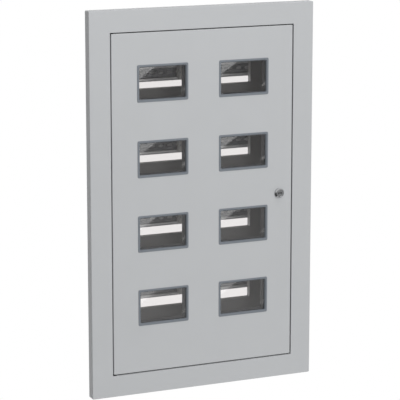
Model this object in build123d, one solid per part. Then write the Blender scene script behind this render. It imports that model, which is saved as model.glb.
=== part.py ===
from build123d import *
import math
import os

# A floor distribution board for a wall niche: a folded front frame, a sheet steel box behind it,
# rails for meters behind slotted cover plates, and a flush glazed door with a cam lock.
# X runs to the right, Y into the wall and Z up. Depths are measured from the front face.

# Windows of the door
window_rows = 4
window_columns = 2
window_width = 140.0
window_height = 95.0
window_pitch_across = 226.0
window_pitch_up = 193.4
window_margin_side = 69.0
window_margin_top = 81.4
window_margin_bottom = 122.4

# Moulded window bezels and their panes
bezel_border = 6.8
bezel_mouth_width = 2.4
bezel_mouth_depth = 3.2
bezel_proud = 1.2
bezel_edge_round = 0.8
bezel_corner = 4.0
throat_wall = 4.0
throat_corner = 3.0
throat_inner_corner = 2.6
throat_depth = 27.5
throat_clearance = 0.5
snap_length = 18.0
snap_height = 1.6
snap_depth = 3.0
snap_clearance = 0.2
pane_thickness = 3.0
pane_bite = 2.5
pane_clearance = 0.2
pane_front_depth = 3.0

# Door sheet and its gap to the frame
door_sheet = 1.5
door_gap = 3.0
door_corner = 2.5
door_edge_round = 1.8

# Front frame
frame_sheet = 1.5
frame_border = 56.0
frame_return = 25.0
frame_corner = 3.0
frame_edge_round = 1.8
stop_lip = 10.0
stop_gap = 1.5
buffer_thickness = 1.2
buffer_length = 14.0
buffer_width = 6.0
buffer_spread = 330.0

# Hinge pins
pivot_inset = 4.5
pin_radius = 2.5
pin_running_gap = 0.06
pin_seat_gap = 0.05
pin_overrun = 4.0
pin_collar_radius = 4.0
pin_collar_gap = 0.3
pin_chamfer = 0.6
hinge_block_width = 14.0
hinge_block_depth = 11.0
hinge_block_height = 16.0
hinge_block_chamfer = 1.5

# Box behind the frame
body_sheet = 1.2
bend_radius = 1.0
front_flange = 9.0
rear_flange = 14.0
fixing_inset_side = 40.0
fixing_inset_end = 22.5
fixing_radius = 4.5

# Cable windows through the back wall, one below each rail
cable_window_height = 70.0
cable_window_drop = 4.6
cable_window_overrun = 32.6
cable_window_corner = 4.0

# Rubber cable grommets in the top and bottom walls
grommet_count = 5
grommet_pitch = 80.0
grommet_radius = 14.5
grommet_lip = 3.5
grommet_lip_height = 2.0
grommet_membrane = 1.0
grommet_wall = 3.0
grommet_seat_gap = 0.1

# Slotted cover plates on two posts
cover_sheet = 1.2
cover_depth = 94.0
cover_joint = 1.0
cover_side_gap = 2.3
cover_flange = 10.0
cover_flange_gap = 1.5
slot_height = 58.7
slot_inset = 6.1
slot_lip = 16.0
slot_corner = 2.0
post_front = 24.0
post_side = 30.0
cover_screw_radius = 2.5
cover_screw_gap = 0.25
cover_screw_length = 12.0
cover_screw_spread = 150.0
cover_head_radius = 5.5
cover_head_height = 5.0
cover_head_round = 1.0
head_slot_width = 1.4
head_slot_depth = 1.2

# Top hat rails, 35 mm by 7.5 mm, with their screws and centre stops
device_depth = 64.0
rail_width = 35.0
rail_height = 7.5
rail_sheet = 1.0
rail_crown = 27.0
rail_overrun = 35.6
rail_rise = 0.9
rail_bend = 0.8
rail_slot_pitch = 25.0
rail_slot_length = 15.0
rail_slot_width = 6.2
rail_screw_radius = 2.0
rail_screw_gap = 0.05
rail_head_radius = 4.2
rail_head_height = 2.2
rail_head_round = 0.7
stop_width = 10.6
stop_body = 9.0
stop_tongue = 4.0
stop_side_gap = 0.5
stop_corner = 1.8
stop_screw_radius = 2.6
stop_screw_depth = 1.6

# Neutral and earth bars with insulating supports
bar_length = 150.0
bar_height = 6.0
bar_thickness = 9.0
bar_spread = 230.0
bar_screw_count = 12
bar_screw_pitch = 12.0
bar_wire_radius = 2.6
bar_wire_setback = 5.0
bar_head_radius = 3.0
bar_head_height = 2.5
bar_slot_width = 1.2
bar_slot_depth = 1.2
bar_shank_radius = 1.75
bar_shank_gap = 0.05
support_width = 12.0
support_height = 20.0
support_length = 30.0
support_spread = 132.0
support_foot = 3.0
support_waist = 14.0

# Earth studs with nut and washer
stud_radius = 4.0
stud_length = 28.0
stud_chamfer = 0.8
nut_gap = 0.05
earth_nut_flats = 13.0
earth_nut_height = 6.5
washer_radius = 9.0
washer_thickness = 1.6
door_stud_radius = 3.0
door_stud_length = 14.0
door_stud_inset = 32.0
door_stud_rise = 42.0
door_stud_foot_radius = 5.5
door_stud_foot = 2.0

# Cam lock
lock_inset = 35.9
lock_head_radius = 13.0
lock_head_height = 7.0
lock_head_bevel = 2.6
lock_face_radius = 9.0
lock_face_depth = 0.8
lock_barrel_radius = 9.5
lock_hole_gap = 0.25
lock_nut_flats = 25.0
lock_nut_height = 5.0
plug_radius = 7.0
plug_gap = 0.05
plug_head_radius = 8.2
plug_head_height = 1.6
plug_rise = 0.4
key_slot_length = 12.5
key_slot_width = 4.4
key_slot_depth = 6.0
cam_clearance = 1.0
cam_end_gap = 0.4
cam_thickness = 3.0
cam_width = 15.0
cam_overlap = 5.5
cam_square = 8.0
cam_square_gap = 0.1
cam_corner = 1.5
cam_screw_radius = 2.5
cam_screw_length = 10.0
cam_screw_gap = 0.05
cam_screw_tip_gap = 0.5
cam_head_flats = 8.0
cam_head_height = 3.5
cam_washer_radius = 6.0
cam_washer_thickness = 1.0

# Sizes that follow
door_width = 2 * window_margin_side + (window_columns - 1) * window_pitch_across + window_width
door_height = window_margin_top + (window_rows - 1) * window_pitch_up + window_height + window_margin_bottom
opening_width = door_width + 2 * door_gap
opening_height = door_height + 2 * door_gap
board_width = opening_width + 2 * frame_border
board_height = opening_height + 2 * frame_border
door_return = frame_return - frame_sheet - stop_gap
rail_depth = cover_depth + device_depth
back_depth = rail_depth + rail_height
body_depth = back_depth + body_sheet
inner_width = opening_width - 2 * body_sheet
inner_height = opening_height - 2 * body_sheet
slot_length = (window_columns - 1) * window_pitch_across + window_width - 2 * slot_inset
rail_length = slot_length + 2 * rail_overrun
cable_window_width = slot_length + 2 * cable_window_overrun
throat_inner_width = window_width - 2 * bezel_border
throat_inner_height = window_height - 2 * bezel_border
throat_outer_width = throat_inner_width + 2 * throat_wall
throat_outer_height = throat_inner_height + 2 * throat_wall
pivot_x = -door_width / 2 + pivot_inset
lock_x = door_width / 2 - lock_inset
cam_front_depth = frame_return + body_sheet + cam_clearance
cam_reach = opening_width / 2 - stop_lip + cam_overlap - lock_x
window_xs = [(i - (window_columns - 1) / 2) * window_pitch_across for i in range(window_columns)]
top_row_z = door_height / 2 - window_margin_top - window_height / 2
window_zs = [top_row_z - k * window_pitch_up for k in range(window_rows)]
rail_zs = [z + rail_rise for z in window_zs]
terminal_top = rail_zs[-1] - window_pitch_up / 2
terminal_z = (terminal_top - inner_height / 2) / 2
fixing_x = opening_width / 2 - fixing_inset_side
fixing_z = opening_height / 2 - fixing_inset_end


def slab(x_low, x_high, front, back, z_low, z_high):
    """Block between two widths, two depths from the front face and two heights."""
    centre = ((x_low + x_high) / 2, (front + back) / 2 - body_depth, (z_low + z_high) / 2)
    return Pos(*centre) * Box(x_high - x_low, back - front, z_high - z_low)


def face_plane(depth, x=0.0, z=0.0):
    """Plane facing into the wall at a depth from the front face."""
    return Plane((x, depth - body_depth, z), x_dir=(1, 0, 0), z_dir=(0, 1, 0))


def rounded_block(width, height, corner, front, back, x=0.0, z=0.0):
    """Block with rounded corners as seen from the front."""
    return extrude(face_plane(front, x, z) * RectangleRounded(width, height, corner), back - front)


def rod(radius, front, back, x, z):
    """Round rod that runs into the wall."""
    return extrude(face_plane(front, x, z) * Circle(radius), back - front)


def hexagon(flats, front, back, x, z):
    """Six sided bar that runs into the wall, by its width across the flats."""
    outline = RegularPolygon(flats / math.sqrt(3), 6)
    return extrude(face_plane(front, x, z) * outline, back - front)


def upright(radius, x, depth, z_low, z_high):
    """Round rod that stands along Z."""
    return Pos(x, depth - body_depth, (z_low + z_high) / 2) * Cylinder(radius, z_high - z_low)


def folded_section(path, sheet, bend):
    """Section of a sheet folded square along a path, with the sheet on the path's left."""
    points = [Vector(*p) for p in path]
    normals = []
    for start, end in zip(points, points[1:]):
        run = (end - start).normalized()
        normals.append(Vector(-run.Y, run.X))
    inner = [points[0] + normals[0] * sheet]
    for point, before, after in zip(points[1:-1], normals, normals[1:]):
        inner.append(point + (before + after) * sheet)
    inner.append(points[-1] + normals[-1] * sheet)
    outline = make_face(Polyline(*points, *reversed(inner), close=True))
    for before, corner, pair, after in zip(points, points[1:], inner[1:], points[2:]):
        inward = before + after - corner - corner
        path_outside = inward.dot(pair - corner) > 0
        outline = round_corner(outline, corner, bend + sheet if path_outside else bend)
        outline = round_corner(outline, pair, bend if path_outside else bend + sheet)
    return outline


def round_corner(outline, place, radius):
    """Round the one corner of a flat outline that lies at a place."""
    corners = outline.vertices().sort_by_distance(place)
    return fillet(corners[:1], radius)


def along_z(section, z_low, z_high):
    """Run a section of width and depth upwards."""
    return extrude(Plane((0, -body_depth, z_low)) * section, z_high - z_low)


def along_x(section, x_low, x_high):
    """Run a section of depth and height to the right."""
    plane = Plane((x_low, -body_depth, 0), x_dir=(0, 1, 0), z_dir=(1, 0, 0))
    return extrude(plane * section, x_high - x_low)


def folded_tray(width, height, depth, sheet, corner, edge_round):
    """Shallow tray open to the back: a front sheet with four returns and soft front edges."""
    outer = rounded_block(width, height, corner, 0, depth)
    outer = fillet(outer.faces().sort_by(Axis.Y)[0].edges(), edge_round)
    hollow = rounded_block(width - 2 * sheet, height - 2 * sheet, corner - sheet, sheet, depth)
    return outer - hollow


def front_frame():
    """Folded surround: face, outer return, return round the door and inward stop lip."""
    frame = folded_tray(board_width, board_height, frame_return, frame_sheet, frame_corner, frame_edge_round)
    inner_width_over = opening_width + 2 * frame_sheet
    inner_height_over = opening_height + 2 * frame_sheet
    frame += slab(-inner_width_over / 2, inner_width_over / 2, 0, frame_return,
                  -inner_height_over / 2, inner_height_over / 2)
    lip_depth = frame_return - frame_sheet
    frame -= slab(-opening_width / 2, opening_width / 2, 0, lip_depth,
                  -opening_height / 2, opening_height / 2)
    clear_width = opening_width - 2 * stop_lip
    clear_height = opening_height - 2 * stop_lip
    frame -= slab(-clear_width / 2, clear_width / 2, lip_depth, frame_return,
                  -clear_height / 2, clear_height / 2)
    hole_radius = pin_radius + pin_running_gap
    for side in (-1, 1):
        inner_face = side * opening_height / 2
        outer_face = side * inner_height_over / 2
        frame -= upright(hole_radius, pivot_x, pivot_inset, *sorted((inner_face, outer_face)))
    return frame


def door_buffers():
    """Rubber pads on the stop lip where the free edge of the door closes."""
    lip_depth = frame_return - frame_sheet
    edge_x = door_width / 2 - door_sheet / 2
    pads = []
    for z in (-buffer_spread, 0, buffer_spread):
        pad = slab(edge_x - buffer_width / 2, edge_x + buffer_width / 2, lip_depth - buffer_thickness,
                   lip_depth, z - buffer_length / 2, z + buffer_length / 2)
        pads.append(pad)
    return pads


def side_wall(side):
    """Side of the box, with a flange under the stop lip and one on the back wall."""
    outer = opening_width / 2
    path = [(outer - front_flange, frame_return), (outer, frame_return),
            (outer, back_depth), (outer - rear_flange, back_depth)]
    section = folded_section(path, body_sheet, bend_radius)
    wall = along_z(section, -opening_height / 2, opening_height / 2)
    for end in (-1, 1):
        low, high = sorted((end * inner_height / 2, end * opening_height / 2))
        wall -= slab(0, outer - body_sheet, 0, body_depth, low, high)
    return wall if side > 0 else mirror(wall, Plane.YZ)


def end_wall(side):
    """Top or bottom of the box, between the side walls, with holes for cable grommets."""
    outer = opening_height / 2
    path = [(frame_return, outer - front_flange), (frame_return, outer),
            (back_depth, outer), (back_depth, outer - rear_flange)]
    section = folded_section(list(reversed(path)), body_sheet, bend_radius)
    wall = along_x(section, -inner_width / 2, inner_width / 2)
    for end in (-1, 1):
        for reach, front, back in ((front_flange, 0, frame_return + bend_radius + body_sheet),
                                   (rear_flange, back_depth - bend_radius - body_sheet, body_depth)):
            x_low, x_high = sorted((end * (opening_width / 2 - reach), end * opening_width / 2))
            wall -= slab(x_low, x_high, front, back, 0, inner_height / 2)
    for x in grommet_xs():
        wall -= upright(grommet_radius, x, grommet_depth(), inner_height / 2, outer)
    return wall if side > 0 else mirror(wall, Plane.XY)


def grommet_xs():
    """Places of the cable grommets across the wall."""
    return [(i - (grommet_count - 1) / 2) * grommet_pitch for i in range(grommet_count)]


def grommet_depth():
    """Depth of the grommets: the middle of the wiring space."""
    return (cover_depth + rail_depth) / 2


def grommets(side):
    """Rubber grommets with a closed membrane, snapped into the wall."""
    low = inner_height / 2
    high = opening_height / 2
    neck = grommet_radius - grommet_seat_gap
    collar = grommet_radius + grommet_lip
    mouth = grommet_radius - grommet_wall
    crown = high + grommet_lip_height
    pieces = []
    for x in grommet_xs():
        depth = grommet_depth()
        piece = upright(neck, x, depth, low, high)
        piece += upright(collar, x, depth, high, crown)
        piece += upright(collar, x, depth, low - grommet_lip_height, low)
        piece -= upright(mouth, x, depth, low - grommet_lip_height, crown - grommet_membrane)
        pieces.append(piece if side > 0 else mirror(piece, Plane.XY))
    return pieces


def back_wall():
    """Back sheet with a cable window below each rail, four fixing holes and rail screw holes."""
    wall = slab(-opening_width / 2, opening_width / 2, back_depth, body_depth,
                -opening_height / 2, opening_height / 2)
    for z in rail_zs:
        centre = z - rail_width / 2 - cable_window_drop - cable_window_height / 2
        wall -= rounded_block(cable_window_width, cable_window_height, cable_window_corner,
                              back_depth, body_depth, 0, centre)
        for x in rail_screw_xs():
            wall -= rod(rail_screw_radius + rail_screw_gap, back_depth, body_depth, x, z)
    for x in (-fixing_x, fixing_x):
        for z in (-fixing_z, fixing_z):
            wall -= rod(fixing_radius, back_depth, body_depth, x, z)
    return wall


def cover_post(side):
    """Angle on the side wall that the cover plates are screwed to."""
    outer = inner_width / 2
    front = cover_depth + cover_sheet
    path = [(outer - post_front, front), (outer, front), (outer, front + post_side)]
    section = folded_section(path, body_sheet, bend_radius)
    post = along_z(section, terminal_top, inner_height / 2)
    for x, z in cover_screw_places():
        if x > 0:
            post -= rod(cover_screw_radius + cover_screw_gap, front, front + body_sheet, x, z)
    return post if side > 0 else mirror(post, Plane.YZ)


def cover_screw_places():
    """Corners of each cover plate where it is screwed to the posts."""
    edge = inner_width / 2 - post_front / 2
    offsets = (-cover_screw_spread / 2, cover_screw_spread / 2)
    return [(x, z + rise) for z in rail_zs for rise in offsets for x in (-edge, edge)]


def cover_plate(row):
    """Cover for one rail: a slot with a drawn lip and stiffening folds above and below."""
    z = rail_zs[row]
    half_width = inner_width / 2 - cover_side_gap
    half_height = (window_pitch_up - cover_joint) / 2
    fold_half = inner_width / 2 - post_front - cover_flange_gap
    back = cover_depth + cover_sheet
    plate = slab(-half_width, half_width, cover_depth, back, z - half_height, z + half_height)
    for low, high in ((-half_height, -half_height + cover_sheet), (half_height - cover_sheet, half_height)):
        plate += slab(-fold_half, fold_half, cover_depth, cover_depth + cover_flange, z + low, z + high)
    lip_back = cover_depth + slot_lip
    plate += rounded_block(slot_length + 2 * cover_sheet, slot_height + 2 * cover_sheet,
                           slot_corner + cover_sheet, cover_depth, lip_back, 0, z)
    plate -= rounded_block(slot_length, slot_height, slot_corner, cover_depth, lip_back, 0, z)
    for x, screw_z in cover_screw_places():
        if abs(screw_z - z) < half_height:
            plate -= rod(cover_screw_radius + cover_screw_gap, cover_depth, back, x, screw_z)
    return plate


def cover_screws():
    """Moulded head thumb screws of the cover plates."""
    screws = []
    for x, z in cover_screw_places():
        head = rod(cover_head_radius, cover_depth - cover_head_height, cover_depth, x, z)
        head = fillet(head.faces().sort_by(Axis.Y)[0].edges(), cover_head_round)
        front = cover_depth - cover_head_height
        head -= slab(x - cover_head_radius, x + cover_head_radius, front, front + head_slot_depth,
                     z - head_slot_width / 2, z + head_slot_width / 2)
        screws.append(head + rod(cover_screw_radius, cover_depth, cover_depth + cover_screw_length, x, z))
    return screws


def rail_slot_count():
    """Number of slots that fit on each side of the middle one."""
    return int((rail_length / 2 - rail_slot_length / 2 - rail_sheet) // rail_slot_pitch)


def rail_screw_xs():
    """Rail screws in the outermost slots and in two slots near the middle."""
    far = rail_slot_count()
    near = max(far // 3, 1)
    return [i * rail_slot_pitch for i in (-far, -near, near, far)]


def din_rail(row):
    """Top hat rail with a slotted web that lies on the back wall."""
    z = rail_zs[row]
    half = rail_width / 2
    waist = rail_crown / 2 - rail_sheet
    web = back_depth - rail_sheet
    path = [(rail_depth, half), (rail_depth, waist), (web, waist),
            (web, -waist), (rail_depth, -waist), (rail_depth, -half)]
    section = folded_section(path, rail_sheet, rail_bend)
    rail = Pos(0, 0, z) * along_x(section, -rail_length / 2, rail_length / 2)
    count = rail_slot_count()
    for i in range(-count, count + 1):
        outline = SlotOverall(rail_slot_length, rail_slot_width)
        plane = face_plane(web, i * rail_slot_pitch, z)
        rail -= extrude(plane * outline, rail_sheet)
    return rail


def rail_screws():
    """Pan head screws that hold the rails to the back wall."""
    web = back_depth - rail_sheet
    screws = []
    for z in rail_zs:
        for x in rail_screw_xs():
            head = rod(rail_head_radius, web - rail_head_height, web, x, z)
            head = fillet(head.faces().sort_by(Axis.Y)[0].edges(), rail_head_round)
            screws.append(head + rod(rail_screw_radius, web, body_depth, x, z))
    return screws


def rail_stops():
    """Plastic stops clipped on the middle of each rail, between its two meters."""
    stops = []
    for z in rail_zs:
        body = rounded_block(stop_width, rail_width - 2 * stop_side_gap, stop_corner,
                             rail_depth - stop_body, rail_depth, 0, z)
        tongue_height = rail_crown - 2 * rail_sheet - 2 * stop_side_gap
        body += slab(-stop_width / 2, stop_width / 2, rail_depth, rail_depth + stop_tongue,
                     z - tongue_height / 2, z + tongue_height / 2)
        front = rail_depth - stop_body
        body -= rod(stop_screw_radius, front, front + stop_screw_depth, 0, z)
        stops.append(body)
    return stops


def bar_screw_xs(x):
    """Places of the terminal screws along a bar."""
    return [x + (i - (bar_screw_count - 1) / 2) * bar_screw_pitch for i in range(bar_screw_count)]


def bar_front():
    """Depth of the front face of the terminal bars."""
    return back_depth - support_length - bar_thickness


def terminal_bar(x):
    """Brass bar with a row of wire holes and a screw hole into each."""
    front = bar_front()
    bar = slab(x - bar_length / 2, x + bar_length / 2, front, front + bar_thickness,
               terminal_z - bar_height / 2, terminal_z + bar_height / 2)
    wire_depth = front + bar_wire_setback
    for place in bar_screw_xs(x):
        bar -= upright(bar_wire_radius, place, wire_depth,
                       terminal_z - bar_height / 2, terminal_z + bar_height / 2)
        bar -= rod(bar_shank_radius + bar_shank_gap, front, wire_depth, place, terminal_z)
    return bar


def terminal_screws(x):
    """Slotted screws of one terminal bar."""
    front = bar_front()
    tip = front + bar_wire_setback - bar_wire_radius
    screws = []
    for place in bar_screw_xs(x):
        screw = rod(bar_head_radius, front - bar_head_height, front, place, terminal_z)
        screw += rod(bar_shank_radius, front, tip, place, terminal_z)
        crown = front - bar_head_height
        screw -= slab(place - bar_head_radius, place + bar_head_radius, crown, crown + bar_slot_depth,
                      terminal_z - bar_slot_width / 2, terminal_z + bar_slot_width / 2)
        screws.append(screw)
    return screws


def bar_supports(x):
    """Waisted insulators that carry a terminal bar off the back wall."""
    front = back_depth - support_length
    pieces = []
    for place in (x - support_spread / 2, x + support_spread / 2):
        left = place - support_width / 2
        right = place + support_width / 2
        piece = slab(left, right, front, back_depth,
                     terminal_z - support_waist / 2, terminal_z + support_waist / 2)
        for low, high in ((front, front + support_foot), (back_depth - support_foot, back_depth)):
            piece += slab(left, right, low, high,
                          terminal_z - support_height / 2, terminal_z + support_height / 2)
        pieces.append(piece)
    return pieces


def earth_stud():
    """Threaded stud welded to the back wall between the two bars."""
    tip = back_depth - stud_length
    stud = rod(stud_radius, tip, back_depth, 0, terminal_z)
    return chamfer(stud.faces().sort_by(Axis.Y)[0].edges(), stud_chamfer)


def earth_nut():
    """Washer and nut on the earth stud."""
    seat = back_depth - washer_thickness
    bore = stud_radius + nut_gap
    washer = rod(washer_radius, seat, back_depth, 0, terminal_z) - rod(bore, seat, back_depth, 0, terminal_z)
    front = seat - earth_nut_height
    nut = hexagon(earth_nut_flats, front, seat, 0, terminal_z) - rod(bore, front, seat, 0, terminal_z)
    return [washer, nut]


def door_panel():
    """Flush door: one folded tray with cut-outs for the bezels, the lock and the hinge pins."""
    door = folded_tray(door_width, door_height, door_return, door_sheet, door_corner, door_edge_round)
    cut_width = throat_outer_width + 2 * throat_clearance
    cut_height = throat_outer_height + 2 * throat_clearance
    for x in window_xs:
        for z in window_zs:
            door -= rounded_block(cut_width, cut_height, throat_corner, 0, door_sheet, x, z)
    door -= rod(lock_barrel_radius + lock_hole_gap, 0, door_sheet, lock_x, 0)
    for side in (-1, 1):
        low, high = sorted((side * (door_height / 2 - door_corner), side * door_height / 2))
        door -= upright(pin_radius + pin_seat_gap, pivot_x, pivot_inset, low, high)
    return door


def window_bezel(x, z):
    """Moulded window frame: a flange on the door, a deep throat, a pane groove and snap ribs."""
    flange = rounded_block(window_width, window_height, bezel_corner, -bezel_proud, 0, x, z)
    flange = fillet(flange.faces().sort_by(Axis.Y)[0].edges(), bezel_edge_round)
    throat = rounded_block(throat_outer_width, throat_outer_height, throat_corner, 0, throat_depth, x, z)
    bezel = flange + throat
    rib_front = door_sheet + snap_clearance
    for side in (-1, 1):
        for along in (-1, 1):
            rib_x = x + along * throat_inner_width / 4
            low, high = sorted((side * throat_outer_height / 2,
                                side * (throat_outer_height / 2 + snap_height)))
            bezel += slab(rib_x - snap_length / 2, rib_x + snap_length / 2, rib_front, rib_front + snap_depth,
                          z + low, z + high)
    bezel -= rounded_block(throat_inner_width, throat_inner_height, throat_inner_corner,
                           -bezel_proud, throat_depth, x, z)
    bezel -= bezel_mouth(x, z)
    bezel -= slab(x - groove_width() / 2, x + groove_width() / 2,
                  pane_front_depth - pane_clearance, pane_front_depth + pane_thickness + pane_clearance,
                  z - groove_height() / 2, z + groove_height() / 2)
    return bezel


def bezel_mouth(x, z):
    """Funnel cut into the flange, so that its inner edge slopes in to the pane."""
    wide = RectangleRounded(throat_inner_width + 2 * bezel_mouth_width, throat_inner_height + 2 * bezel_mouth_width,
                            throat_inner_corner + bezel_mouth_width)
    narrow = RectangleRounded(throat_inner_width, throat_inner_height, throat_inner_corner)
    return loft([face_plane(-bezel_proud, x, z) * wide,
                 face_plane(-bezel_proud + bezel_mouth_depth, x, z) * narrow], ruled=True)


def groove_width():
    """Width over the groove that holds the pane."""
    return throat_inner_width + 2 * pane_bite


def groove_height():
    """Height over the groove that holds the pane."""
    return throat_inner_height + 2 * pane_bite


def window_pane(x, z):
    """Clear plastic pane held in the groove of its bezel."""
    width = groove_width() - 2 * pane_clearance
    height = groove_height() - 2 * pane_clearance
    return slab(x - width / 2, x + width / 2, pane_front_depth, pane_front_depth + pane_thickness,
                z - height / 2, z + height / 2)


def hinge_pin(side):
    """Pin with a collar that turns in the frame and carries the door."""
    door_edge = door_height / 2
    tip = opening_height / 2 + frame_sheet + pin_overrun
    root = door_edge - door_sheet - hinge_block_height
    pin = upright(pin_radius, pivot_x, pivot_inset, root, tip)
    pin = chamfer(pin.faces().sort_by(Axis.Z)[-1].edges(), pin_chamfer)
    pin += upright(pin_collar_radius, pivot_x, pivot_inset, door_edge, opening_height / 2 - pin_collar_gap)
    return pin if side > 0 else mirror(pin, Plane.XY)


def hinge_block(side):
    """Steel block welded into the corner of the door tray, bored for its hinge pin."""
    left = -door_width / 2 + door_sheet
    top = door_height / 2 - door_sheet
    block = slab(left, left + hinge_block_width, door_sheet, door_sheet + hinge_block_depth,
                 top - hinge_block_height, top)
    free_edge = block.edges().filter_by(Axis.Z).sort_by(Axis.X)[2:].sort_by(Axis.Y)[-1:]
    block = chamfer(free_edge, hinge_block_chamfer)
    tray_corner = block.edges().filter_by(Axis.Y).sort_by(Axis.X)[:2].sort_by(Axis.Z)[-1:]
    block = fillet(tray_corner, door_corner - door_sheet)
    block -= upright(pin_radius + pin_seat_gap, pivot_x, pivot_inset, top - hinge_block_height, top)
    return block if side > 0 else mirror(block, Plane.XY)


def door_earth_stud():
    """Stud with a foot, welded inside the door near its hinge."""
    x = -door_width / 2 + door_stud_inset
    z = -door_height / 2 + door_stud_rise
    foot = rod(door_stud_foot_radius, door_sheet, door_sheet + door_stud_foot, x, z)
    stud = rod(door_stud_radius, door_sheet, door_sheet + door_stud_length, x, z)
    stud = chamfer(stud.faces().sort_by(Axis.Y)[-1].edges(), stud_chamfer)
    return foot + stud


def lock_housing():
    """Lock body: a low bevelled head on the door and a barrel through it."""
    head = rod(lock_head_radius, -lock_head_height, 0, lock_x, 0)
    head = chamfer(head.faces().sort_by(Axis.Y)[0].edges(), lock_head_bevel)
    housing = head + rod(lock_barrel_radius, 0, cam_front_depth - cam_end_gap, lock_x, 0)
    housing -= rod(lock_face_radius, -lock_head_height, -lock_head_height + lock_face_depth, lock_x, 0)
    seat = -lock_head_height + lock_face_depth
    housing -= rod(plug_head_radius + plug_gap, seat, plug_head_back(), lock_x, 0)
    housing -= rod(plug_radius + plug_gap, seat, cam_front_depth, lock_x, 0)
    return housing


def plug_head_back():
    """Depth of the seat under the head of the lock plug."""
    return -lock_head_height + lock_face_depth - plug_rise + plug_head_height + plug_gap


def lock_nut():
    """Nut that clamps the lock to the inside of the door."""
    nut = hexagon(lock_nut_flats, door_sheet, door_sheet + lock_nut_height, lock_x, 0)
    return nut - rod(lock_barrel_radius + nut_gap, door_sheet, door_sheet + lock_nut_height, lock_x, 0)


def lock_plug():
    """Turning plug: a slotted head, a round barrel and a square end for the cam."""
    front = -lock_head_height + lock_face_depth - plug_rise
    plug = rod(plug_head_radius, front, front + plug_head_height, lock_x, 0)
    plug += rod(plug_radius, front, cam_front_depth, lock_x, 0)
    half = cam_square / 2
    plug += slab(lock_x - half, lock_x + half, cam_front_depth, cam_front_depth + cam_thickness, -half, half)
    key = SlotOverall(key_slot_length, key_slot_width)
    plug -= extrude(face_plane(front, lock_x, 0) * key, key_slot_depth)
    back = cam_front_depth + cam_thickness
    plug -= rod(cam_screw_radius + cam_screw_gap, back - cam_screw_length, back, lock_x, 0)
    return plug


def lock_cam():
    """Flat cam, hanging down when unlocked, that turns behind the stop lip."""
    back = cam_front_depth + cam_thickness
    plate = slab(lock_x - cam_width / 2, lock_x + cam_width / 2, cam_front_depth, back, -cam_reach, 0)
    tip_edges = plate.edges().filter_by(Axis.Y).sort_by(Axis.Z)[:2]
    plate = fillet(tip_edges, cam_corner)
    plate += rod(cam_width / 2, cam_front_depth, back, lock_x, 0)
    half = cam_square / 2 + cam_square_gap
    return plate - slab(lock_x - half, lock_x + half, cam_front_depth, back, -half, half)


def cam_screw():
    """Hexagon screw with a fixed washer that clamps the cam to the plug."""
    seat = cam_front_depth + cam_thickness
    screw = rod(cam_washer_radius, seat, seat + cam_washer_thickness, lock_x, 0)
    crown = seat + cam_washer_thickness
    screw += hexagon(cam_head_flats, crown, crown + cam_head_height, lock_x, 0)
    tip = seat - cam_screw_length + cam_screw_tip_gap
    return screw + rod(cam_screw_radius, tip, seat, lock_x, 0)


nodes = {
    "front_frame": front_frame(),
    "door_buffers": door_buffers(),
    "side_wall_left": side_wall(-1),
    "side_wall_right": side_wall(1),
    "top_wall": end_wall(1),
    "bottom_wall": end_wall(-1),
    "back_wall": back_wall(),
    "top_grommets": grommets(1),
    "bottom_grommets": grommets(-1),
    "cover_post_left": cover_post(-1),
    "cover_post_right": cover_post(1),
    "cover_screws": cover_screws(),
    "rail_screws": rail_screws(),
    "rail_stops": rail_stops(),
    "neutral_bar": terminal_bar(-bar_spread / 2),
    "neutral_bar_screws": terminal_screws(-bar_spread / 2),
    "neutral_bar_supports": bar_supports(-bar_spread / 2),
    "earth_bar": terminal_bar(bar_spread / 2),
    "earth_bar_screws": terminal_screws(bar_spread / 2),
    "earth_bar_supports": bar_supports(bar_spread / 2),
    "earth_stud": earth_stud(),
    "earth_nut": earth_nut(),
    "door_panel": door_panel(),
    "hinge_pin_top": hinge_pin(1),
    "hinge_pin_bottom": hinge_pin(-1),
    "hinge_block_top": hinge_block(1),
    "hinge_block_bottom": hinge_block(-1),
    "door_earth_stud": door_earth_stud(),
    "lock_housing": lock_housing(),
    "lock_nut": lock_nut(),
    "lock_plug": lock_plug(),
    "lock_cam": lock_cam(),
    "cam_screw": cam_screw(),
}
for row, row_z in enumerate(window_zs):
    nodes[f"din_rail_{row + 1}"] = din_rail(row)
    nodes[f"cover_plate_{row + 1}"] = cover_plate(row)
    for column, column_x in enumerate(window_xs):
        place = f"row{row + 1}_column{column + 1}"
        nodes[f"window_bezel_{place}"] = window_bezel(column_x, row_z)
        nodes[f"window_pane_{place}"] = window_pane(column_x, row_z)

os.makedirs("parts", exist_ok=True)
for name, shape in nodes.items():
    solid = Compound(children=shape) if isinstance(shape, list) else shape
    export_step(solid, f"parts/{name}.step")
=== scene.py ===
import bpy
import math
from mathutils import Matrix, Vector


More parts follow.
